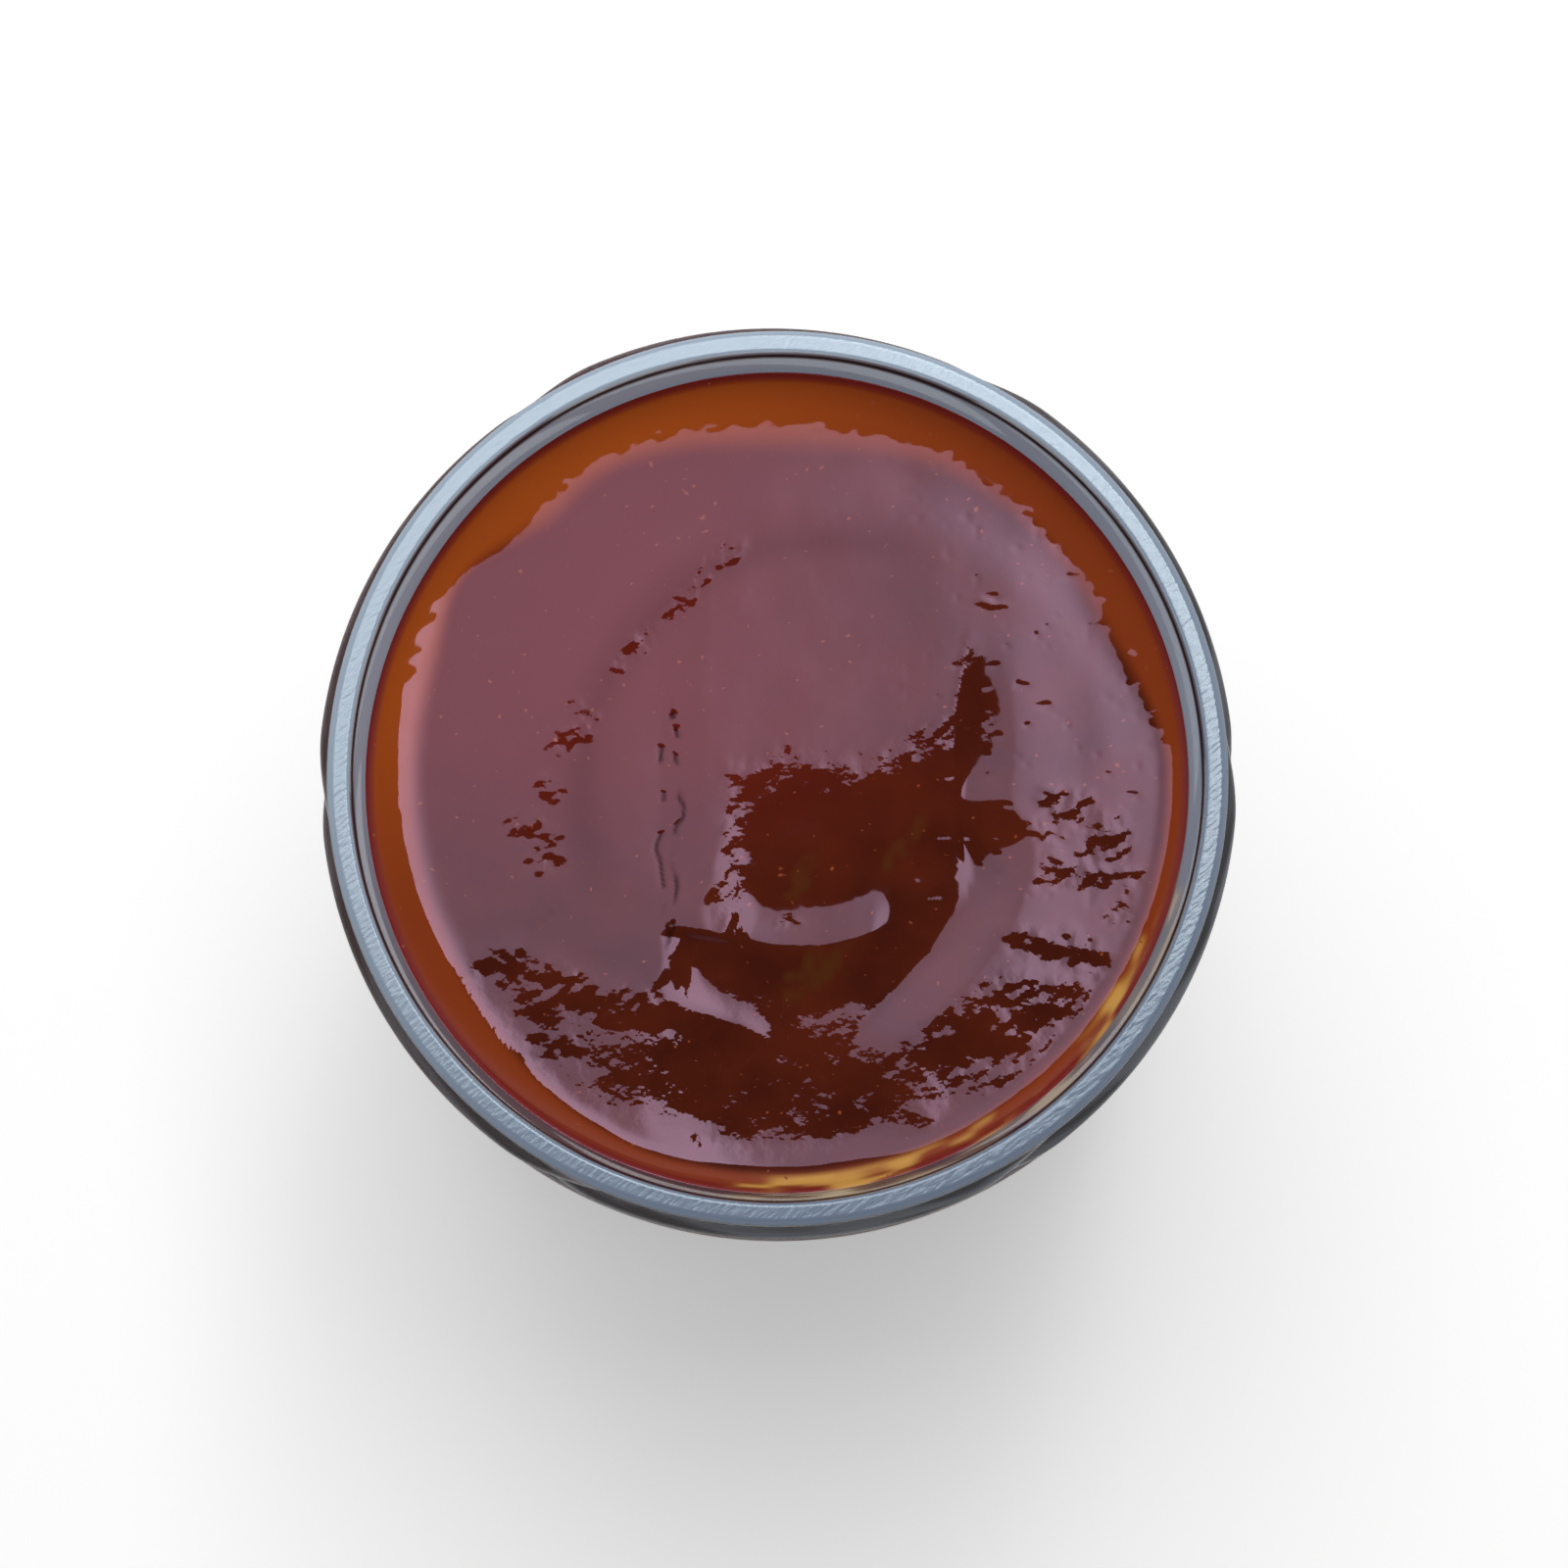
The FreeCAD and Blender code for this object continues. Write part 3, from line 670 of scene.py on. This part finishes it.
def soda_lime_glass():
    """Soda-lime glass, pressed in a mould and fire-polished.

    The walls are clear and smooth, and show the sauce behind them with sharp reflections.
    The sealing land is silky, with a fine slanting grain, and pale with a painted blue-grey
    reflection, lighter by painted light towards the back left. Just inside it a painted dark
    shade line marks the crease that parts it from the throat, whose thin haze carries a painted
    blue-grey reflection, lighter by painted light towards the back, with a few painted cream
    highlight streaks at the front right. Outside, the finish carries a painted dark reflection,
    with painted paler glints drawn out along the threads.
    """
    material, tree = new_material("pressed_soda_lime_glass")
    place = add(tree, "TexCoord")
    land, painted_crease_shade, painted_cream_highlight, inner, outer, lit, glints = (
        add(tree, "Attribute", attribute_name=name)
        for name in ("land", "painted_crease_shade", "painted_cream_highlight", "inner", "outer", "lit", "glints"))
    clear = add(tree, "BsdfPrincipled", [
        ("Base Color", linear("#f4f8f8")), ("Transmission Weight", 1.0), ("IOR", 1.52),
        ("Roughness", 0.0)])

    # the land's grain: marks 0.38 mm wide and three and a half times as long
    grain_place = add(tree, "Mapping", [
        ("Vector", place, "Object"), ("Rotation", (0.0, 0.0, 0.7)),
        ("Scale", (3.5, 1.0, 1.0))], vector_type="TEXTURE")
    grain = add(tree, "TexNoise", [
        ("Vector", grain_place, "Vector"), ("Scale", cells(0.3846)), ("Detail", 1.0)])
    grain_share = add(tree, "Math", [(0, grain, "Fac"), (1, land, "Fac")], operation="MULTIPLY")
    relief = add(tree, "Bump", [
        ("Height", grain_share, "Value"), ("Distance", 0.04 * MM), ("Strength", 1.0)])
    # painted reflection: the land's pale blue-grey, lighter where painted light falls towards the
    # back left
    land_painted_reflection = add(tree, "Mix", [
        ("Factor", lit, "Fac"), ("A", linear("#7c8ca3")), ("B", linear("#b2c4d8"))],
        data_type="RGBA")
    silky = add(tree, "BsdfPrincipled", [
        ("Base Color", land_painted_reflection, "Result"), ("IOR", 1.52), ("Roughness", 0.2),
        ("Specular IOR Level", 0.9), ("Specular Tint", (0.80, 0.93, 1.0, 1.0)),
        ("Normal", relief, "Normal")])

    # the throat's haze, with its painted blue-grey reflection and painted light, its painted cream
    # highlight streaks and the painted dark shade line at the crease
    # painted reflection and light: the throat's blue-grey, from dark at the front to pale at the
    # back
    throat_painted_reflection = add(tree, "Mix", [
        ("Factor", lit, "Fac"), ("A", linear("#4c4f58")), ("B", linear("#c6e6ff"))],
        data_type="RGBA")
    # painted highlights: cream streaks in the throat at the front right
    throat_with_painted_highlights = add(tree, "Mix", [
        ("Factor", painted_cream_highlight, "Fac"), ("A", throat_painted_reflection, "Result"), ("B", linear("#f2e4c4"))],
        data_type="RGBA")
    # painted shade: the crease darkened to a dark line, and its reflection dulled
    throat_painted_light_and_shade = add(tree, "Mix", [
        ("Factor", painted_crease_shade, "Fac"), ("A", throat_with_painted_highlights, "Result"), ("B", linear("#2c2128"))],
        data_type="RGBA")
    haze_sheen = add(tree, "MapRange", [
        ("Value", painted_crease_shade, "Fac"), ("To Min", 0.5), ("To Max", 0.05)])
    haze_and_painted_light = add(tree, "BsdfPrincipled", [
        ("Base Color", throat_painted_light_and_shade, "Result"), ("IOR", 1.52), ("Roughness", 0.30),
        ("Specular IOR Level", haze_sheen, "Result")])

    # the finish outside: a painted dark reflection, with painted paler glints drawn out along the
    # threads
    outer_painted_reflection_tone = add(tree, "Mix", [
        ("Factor", glints, "Fac"), ("A", linear("#2c2e33")), ("B", linear("#6f747c"))],
        data_type="RGBA")
    outer_painted_reflection = add(tree, "BsdfPrincipled", [
        ("Base Color", outer_painted_reflection_tone, "Result"), ("IOR", 1.52), ("Roughness", 0.10)])

    land_share = add(tree, "Math", [(0, land, "Fac"), (1, 0.85)], operation="MULTIPLY")
    outside = add(tree, "MixShader", [(0, outer, "Fac"), (1, clear, "BSDF"), (2, outer_painted_reflection, "BSDF")])
    inside = add(tree, "MixShader", [(0, inner, "Fac"), (1, outside, "Shader"), (2, haze_and_painted_light, "BSDF")])
    top = add(tree, "MixShader", [
        (0, land_share, "Value"), (1, inside, "Shader"), (2, silky, "BSDF")])
    add(tree, "OutputMaterial", [("Surface", top, "Shader")])
    return material


def barbecue_sauce():
    """Thick barbecue sauce of tomato and molasses, cooked and stirred.

    It is as glossy as wet paint, so its slopes show either the pale light or its own deep
    red-brown. It is redder at the back and on the sides, orange where it is only a film on
    the glass, with a painted golden glow of light through the thinnest film at the front right,
    and dark red where it meets the glass. Painted faint olive reflections on the floor of the
    hollow, small flecks of spice and the pulp of the torn places break it up, and the creases
    and an arc inside the dish's edge are darker and duller with painted shade.
    """
    material, tree = new_material("thick_barbecue_sauce")
    place = add(tree, "TexCoord")
    film, at_glass, bright, painted_glow, painted_reflection_share, torn_here, creased = (
        add(tree, "Attribute", attribute_name=name)
        for name in ("film", "at_glass", "bright", "painted_glow", "painted_reflections", "torn", "crease_and_painted_shade"))

    # the body's red-brown, in clouds of 7 mm
    cloud = add(tree, "TexNoise", [
        ("Vector", place, "Object"), ("Scale", cells(6.667)), ("Detail", 4.0)])
    cloud_wide = add(tree, "MapRange", [
        ("Value", cloud, "Fac"), ("From Min", 0.35), ("From Max", 0.65)])
    deep = add(tree, "Mix", [
        ("Factor", cloud_wide, "Result"), ("A", linear("#48180a")), ("B", linear("#5a200e"))],
        data_type="RGBA")
    # painted reflection: faint olive patches on the floor of the hollow
    with_painted_reflections = add(tree, "Mix", [
        ("Factor", painted_reflection_share, "Fac"), ("A", deep, "Result"), ("B", linear("#54290f"))],
        data_type="RGBA")
    back = add(tree, "Mix", [
        ("Factor", bright, "Fac"), ("A", with_painted_reflections, "Result"), ("B", linear("#6c2013"))],
        data_type="RGBA")

    # the film on the glass
    film_tone = add(tree, "Mix", [
        ("Factor", bright, "Fac"), ("A", linear("#8b3a17")), ("B", linear("#a34a16"))],
        data_type="RGBA")
    # painted light: a golden glow through the thin film at the front right
    film_with_painted_glow = add(tree, "Mix", [
        ("Factor", painted_glow, "Fac"), ("A", film_tone, "Result"), ("B", linear("#d09a4a"))],
        data_type="RGBA")
    thin = add(tree, "Mix", [
        ("Factor", film, "Fac"), ("A", back, "Result"), ("B", film_with_painted_glow, "Result")],
        data_type="RGBA")
    edged = add(tree, "Mix", [
        ("Factor", at_glass, "Fac"), ("A", thin, "Result"), ("B", linear("#7a2116"))],
        data_type="RGBA")

    # sparse flecks of spice, the highest peaks of grains of 0.6 mm, and painted shade, darker and
    # duller, in the creases and along the dish's arc
    grains = add(tree, "TexNoise", [
        ("Vector", place, "Object"), ("Scale", cells(0.5882)), ("Detail", 0.0)])
    fleck = add(tree, "MapRange", [
        ("Value", grains, "Fac"), ("From Min", 0.80), ("From Max", 0.86)])
    flecked = add(tree, "Mix", [
        ("Factor", fleck, "Result"), ("A", edged, "Result"), ("B", linear("#93492a"))],
        data_type="RGBA")
    colour = add(tree, "Mix", [
        ("Factor", creased, "Fac"), ("A", flecked, "Result"), ("B", linear("#34110a"))],
        data_type="RGBA")
    sheen = add(tree, "MapRange", [("Value", creased, "Fac"), ("To Min", 0.5), ("To Max", 0.15)])

    # pulp of 0.8 mm, only in the torn places
    pulp = add(tree, "TexNoise", [
        ("Vector", place, "Object"), ("Scale", cells(0.7692)), ("Detail", 1.5)])
    pulp_share = add(tree, "Math", [(0, pulp, "Fac"), (1, torn_here, "Fac")], operation="MULTIPLY")
    relief = add(tree, "Bump", [
        ("Height", pulp_share, "Value"), ("Distance", 0.025 * MM), ("Strength", 1.0)])
    skin = add(tree, "BsdfPrincipled", [
        ("Base Color", colour, "Result"), ("Roughness", 0.03), ("IOR", 1.40),
        ("Specular IOR Level", sheen, "Result"),
        ("Specular Tint", (1.0, 0.68, 0.98, 1.0)), ("Normal", relief, "Normal")])
    add(tree, "OutputMaterial", [("Surface", skin, "BSDF")])
    return material


glass.data.materials.append(soda_lime_glass())
sauce.data.materials.append(barbecue_sauce())


# ---------------------------------------------------------------- floor, light and camera
def make_floor():
    """A level square sheet under the jar, matt and white to the camera."""
    half = 1.5
    corners = [(-half, -half, 0.0), (half, -half, 0.0), (half, half, 0.0), (-half, half, 0.0)]
    mesh = bpy.data.meshes.new("floor")
    mesh.from_pydata(corners, [], [(0, 1, 2, 3)])
    floor = bpy.data.objects.new("floor", mesh)
    bpy.context.scene.collection.objects.link(floor)
    material, tree = new_material("white_matt_board")
    ray = add(tree, "LightPath")
    sheet = add(tree, "BsdfPrincipled", [("Base Color", linear("#f6f6f6")), ("Roughness", 0.8)])
    lift = add(tree, "Emission", [("Color", (1.0, 1.0, 1.0, 1.0)), ("Strength", 0.35)])
    lifted = add(tree, "AddShader", [(0, sheet, "BSDF"), (1, lift, "Emission")])
    seen = add(tree, "MixShader", [
        (0, ray, "Is Camera Ray"), (1, sheet, "BSDF"), (2, lifted, "Shader")])
    add(tree, "OutputMaterial", [("Surface", seen, "Shader")])
    mesh.materials.append(material)


def make_softbox(left, right, near, far, height, radiance):
    """A level light panel over the jar, over twice as bright at the right as at the left,
    and a little dimmer along its front edge."""
    lamp = bpy.data.lights.new("softbox", "AREA")
    lamp.shape = "RECTANGLE"
    lamp.size = right - left
    lamp.size_y = far - near
    lamp.energy = radiance * math.pi * lamp.size * lamp.size_y
    lamp.use_nodes = True
    tree = lamp.node_tree
    tree.nodes.clear()
    spot = add(tree, "NewGeometry")
    sides = add(tree, "SeparateXYZ", [("Vector", spot, "Parametric")])
    across = add(tree, "MapRange", [
        ("Value", sides, "X"), ("From Min", 0.54), ("From Max", 0.84),
        ("To Min", 0.80), ("To Max", 1.75)], interpolation_type="SMOOTHSTEP")
    back = add(tree, "MapRange", [
        ("Value", sides, "Y"), ("From Min", 0.0), ("From Max", 0.25),
        ("To Min", 0.9), ("To Max", 1.15)])
    strength = add(tree, "Math", [(0, across, "Result"), (1, back, "Result")],
                   operation="MULTIPLY")
    glow = add(tree, "Emission", [("Strength", strength, "Value")])
    add(tree, "OutputLight", [("Surface", glow, "Emission")])
    panel = bpy.data.objects.new("softbox", lamp)
    panel.location = (0.5 * (left + right), 0.5 * (near + far), height)
    panel.visible_camera = False
    bpy.context.scene.collection.objects.link(panel)


def make_camera(target, distance, elevation, width):
    """A camera that looks at the target from the front, nearly straight down, and takes in
    the given width there."""
    lens = bpy.data.cameras.new("camera")
    lens.sensor_width = 36.0
    lens.lens = lens.sensor_width * distance / width
    lens.clip_start = 0.01
    camera = bpy.data.objects.new("camera", lens)
    back = Vector((0.0, -math.cos(elevation), math.sin(elevation)))
    camera.location = Vector(target) + back * distance
    camera.rotation_euler = back.to_track_quat("Z", "Y").to_euler()
    bpy.context.scene.collection.objects.link(camera)
    bpy.context.scene.camera = camera


def make_room():
    """A soft grey room, darker overhead than at the sides."""
    world = bpy.data.worlds.new("studio")
    world.use_nodes = True
    room = world.node_tree
    room.nodes.clear()
    direction = add(room, "TexCoord")
    rise = add(room, "SeparateXYZ", [("Vector", direction, "Generated")])
    brightness = add(room, "MapRange", [
        ("Value", rise, "Z"), ("From Min", 0.25), ("From Max", 0.85),
        ("To Min", 0.60), ("To Max", 0.07)], interpolation_type="SMOOTHSTEP")
    walls = add(room, "Background", [
        ("Color", (1.0, 1.0, 1.0, 1.0)), ("Strength", brightness, "Result")])
    add(room, "OutputWorld", [("Surface", walls, "Background")])
    bpy.context.scene.world = world


make_floor()
make_softbox(left=-0.40, right=0.28, near=0.052, far=0.90, height=1.094, radiance=4.1)
make_camera(target=(0.00057, -0.00093, 0.1), distance=0.45, elevation=math.radians(83.5),
            width=0.1392)
make_room()
bpy.context.scene.view_settings.view_transform = "Standard"
